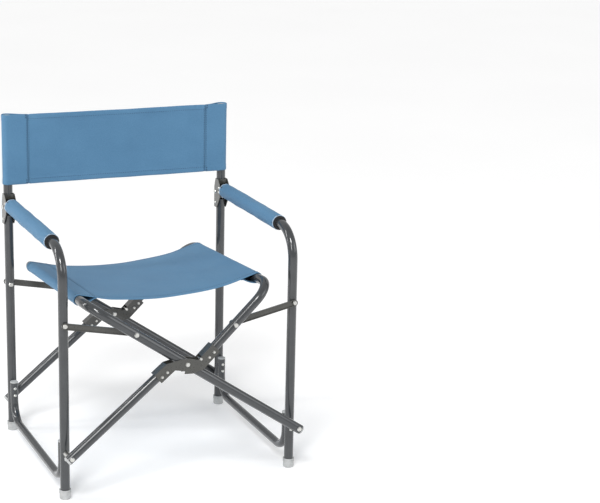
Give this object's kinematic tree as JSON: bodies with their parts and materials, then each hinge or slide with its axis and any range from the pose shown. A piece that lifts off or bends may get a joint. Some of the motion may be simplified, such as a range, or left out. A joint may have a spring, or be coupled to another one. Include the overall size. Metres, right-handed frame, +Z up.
{
  "type": "folding chair",
  "caption": "Folding director's chair with painted steel tube side frames, scissor legs, padded arms and canvas seat and back slings",
  "frame": {"origin": "on the floor under the middle of the bounding box", "axes": "+X to the sitter's left, +Y to the rear, +Z up; the front of the chair faces -Y"},
  "size_m": [0.588, 0.5863, 0.8],
  "materials": {
    "canvas": "matte woven polyester canvas, steel blue",
    "foam": "closed-cell foam, black",
    "grey_plastic": "moulded light grey plastic",
    "zinc": "bright zinc plated",
    "bracket_paint": "dark olive grey enamel",
    "tube_paint": "dark grey gloss enamel"
  },
  "bodies": {
    "left_side": {"left_front_leg_arm": "tube_paint", "left_rear_upright": "tube_paint", "left_base_rail": "tube_paint", "left_base_rail_plugs": "grey_plastic", "left_front_foot_cap": "grey_plastic", "left_rear_foot_cap": "grey_plastic", "left_arm_foam": "foam", "left_arm_sleeve": "canvas", "left_back_bracket": "bracket_paint", "left_bracket_rivets": "zinc", "left_back_hinge_pin": "zinc", "left_leg_pivot_rivets": "zinc", "left_base_rail_rivets": "zinc", "left_link_pivot_rivets": "zinc", "left_pivot_spacers": "zinc"},
    "right_side": {"right_front_leg_arm": "tube_paint", "right_rear_upright": "tube_paint", "right_base_rail": "tube_paint", "right_base_rail_plugs": "grey_plastic", "right_front_foot_cap": "grey_plastic", "right_rear_foot_cap": "grey_plastic", "right_arm_foam": "foam", "right_arm_sleeve": "canvas", "right_back_bracket": "bracket_paint", "right_bracket_rivets": "zinc", "right_back_hinge_pin": "zinc", "right_leg_pivot_rivets": "zinc", "right_base_rail_rivets": "zinc", "right_link_pivot_rivets": "zinc", "right_pivot_spacers": "zinc"},
    "left_back": {"left_back_post": "tube_paint", "left_back_post_cap": "grey_plastic", "back_sling": "canvas"},
    "right_back": {"right_back_post": "tube_paint", "right_back_post_cap": "grey_plastic"},
    "left_frame": {"left_seat_frame": "tube_paint", "left_seat_frame_plugs": "grey_plastic", "left_frame_link_rivets": "zinc", "seat_sling": "canvas"},
    "right_frame": {"right_seat_frame": "tube_paint", "front_lower_leg": "tube_paint", "rear_lower_leg": "tube_paint", "lower_leg_plugs": "grey_plastic", "front_cross_bracket": "bracket_paint", "rear_cross_bracket": "bracket_paint", "cross_bracket_rivets": "zinc", "cross_bracket_pins": "zinc", "front_cross_pivot": "zinc", "rear_cross_pivot": "zinc", "right_frame_link_rivets": "zinc"},
    "left_front_link_bar": {"left_front_link": "bracket_paint"},
    "left_rear_link_bar": {"left_rear_link": "bracket_paint"},
    "right_front_link_bar": {"right_front_link": "bracket_paint"},
    "right_rear_link_bar": {"right_rear_link": "bracket_paint"}
  },
  "joints": [
    {"name": "fold", "type": "hinge", "parent": "left_side", "child": "right_frame", "pos_m": [-0.275, -0.27804, 0.11467], "axis": [0, -0.9976, 0.0698], "range_deg": [0, 34], "deforming": ["seat_sling", "back_sling"]},
    {"name": "scissor", "type": "hinge", "parent": "right_frame", "child": "left_frame", "pos_m": [0, -0.26495, 0.30181], "axis": [0, -0.9976, 0.0698], "range_deg": [-68, 0]},
    {"name": "right_leg_pivot", "type": "hinge", "parent": "left_frame", "child": "right_side", "pos_m": [0.275, -0.27804, 0.11467], "axis": [0, -0.9976, 0.0698], "range_deg": [0, 34]},
    {"name": "left_front_link_pivot", "type": "hinge", "parent": "left_side", "child": "left_front_link_bar", "pos_m": [-0.275, -0.22972, 0.41064], "axis": [0, -0.9976, 0.0698], "range_deg": [0, 74.92]},
    {"name": "left_rear_link_pivot", "type": "hinge", "parent": "left_side", "child": "left_rear_link_bar", "pos_m": [-0.275, 0.23628, 0.37806], "axis": [0, -0.9976, 0.0698], "range_deg": [0, 74.92]},
    {"name": "right_front_link_pivot", "type": "hinge", "parent": "right_side", "child": "right_front_link_bar", "pos_m": [0.275, -0.22972, 0.41064], "axis": [0, -0.9976, 0.0698], "range_deg": [-76.15, 0]},
    {"name": "right_rear_link_pivot", "type": "hinge", "parent": "right_side", "child": "right_rear_link_bar", "pos_m": [0.275, 0.23628, 0.37806], "axis": [0, -0.9976, 0.0698], "range_deg": [-76.15, 0]},
    {"name": "left_back_hinge", "type": "hinge", "parent": "left_side", "child": "left_back", "pos_m": [-0.275, 0.24228, 0.571], "axis": [-1, 0, 0], "range_deg": [0, 150]},
    {"name": "right_back_hinge", "type": "hinge", "parent": "right_side", "child": "right_back", "pos_m": [0.275, 0.24228, 0.571], "axis": [-1, 0, 0], "range_deg": [0, 150]}
  ],
  "couplings": [
    {"joint": "scissor", "follows": "fold", "ratio": -2},
    {"joint": "right_leg_pivot", "follows": "fold", "ratio": 1},
    {"joint": "left_front_link_pivot", "follows": "fold", "ratio": 2.2035},
    {"joint": "left_rear_link_pivot", "follows": "fold", "ratio": 2.2035},
    {"joint": "right_front_link_pivot", "follows": "fold", "ratio": -2.2398},
    {"joint": "right_rear_link_pivot", "follows": "fold", "ratio": -2.2398},
    {"joint": "right_back_hinge", "follows": "left_back_hinge", "ratio": 1}
  ]
}
